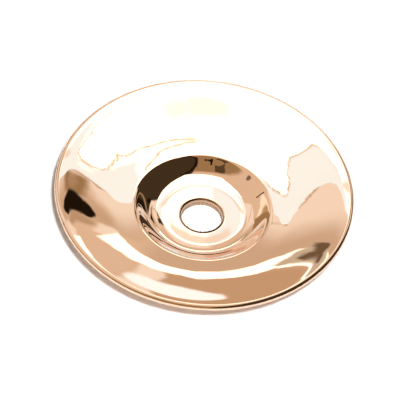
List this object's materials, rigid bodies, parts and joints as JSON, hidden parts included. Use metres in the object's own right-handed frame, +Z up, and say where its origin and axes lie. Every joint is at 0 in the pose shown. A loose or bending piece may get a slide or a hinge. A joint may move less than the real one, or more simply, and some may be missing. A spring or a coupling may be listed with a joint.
{
  "type": "hookah tray",
  "caption": "Round polished metal dish with a rolled rim, a deeper central well and a collared centre hole; slides over a water pipe's stem to catch ash and embers.",
  "frame": {"origin": "on the dish's axis, at the foot of the collar: the centre of its flat lower face", "axes": "+Z up along the dish's axis, out of its open side; X and Y are any two directions across it, because the dish is round"},
  "size_m": [0.24, 0.24, 0.0421],
  "materials": {
    "polished_shell": "mirror-polished rose-gold plate over spun brass sheet",
    "rim_wire_steel": "drawn steel wire, bare",
    "polished_collar": "turned brass with polished rose-gold plate",
    "grip_rubber": "matt brown silicone rubber"
  },
  "bodies": {
    "root": {"tray_shell": "polished_shell", "rim_wire": "rim_wire_steel", "hub_collar": "polished_collar", "grip_ring": "grip_rubber"}
  },
  "joints": []
}
